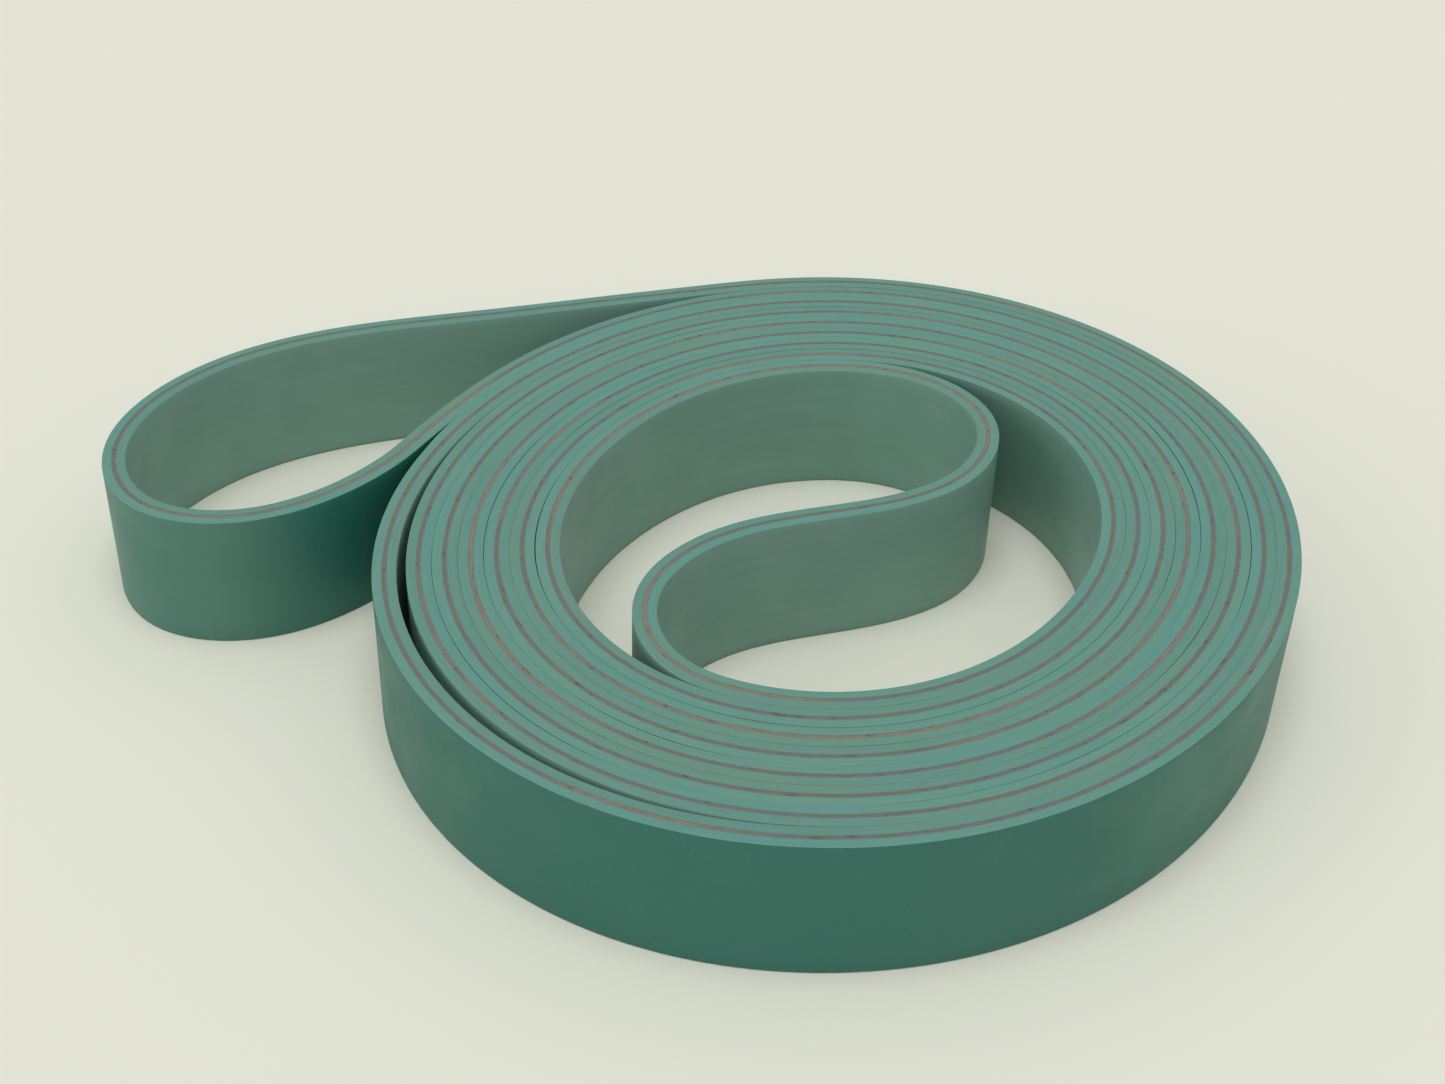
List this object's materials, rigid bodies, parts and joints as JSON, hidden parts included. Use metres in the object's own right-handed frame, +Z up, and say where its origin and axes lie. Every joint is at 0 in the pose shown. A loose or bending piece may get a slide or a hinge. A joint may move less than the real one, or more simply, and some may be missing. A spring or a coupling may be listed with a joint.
{
  "type": "coiled endless flat drive belt",
  "caption": "Endless laminated flat belt with green rubber covers and a brown traction layer, stood on edge, doubled and wound into a coil with an outer bight and an S-shaped inner fold.",
  "frame": {"origin": "on the resting surface, under the centre of the belt's bounding box", "axes": "+Z up, across the belt's width; +X along the longer side, from the outer bight to the coil; +Y to the back of the coil"},
  "size_m": [0.2506, 0.2014, 0.03],
  "materials": {
    "green_elastomer": "matte, finely ground",
    "brown_fabric": "woven, adhesive-filled",
    "polyamide_core": "satin"
  },
  "bodies": {
    "root": {"outer_cover": "green_elastomer", "outer_fabric": "brown_fabric", "traction_core": "polyamide_core", "inner_fabric": "brown_fabric", "inner_cover": "green_elastomer"}
  },
  "joints": []
}
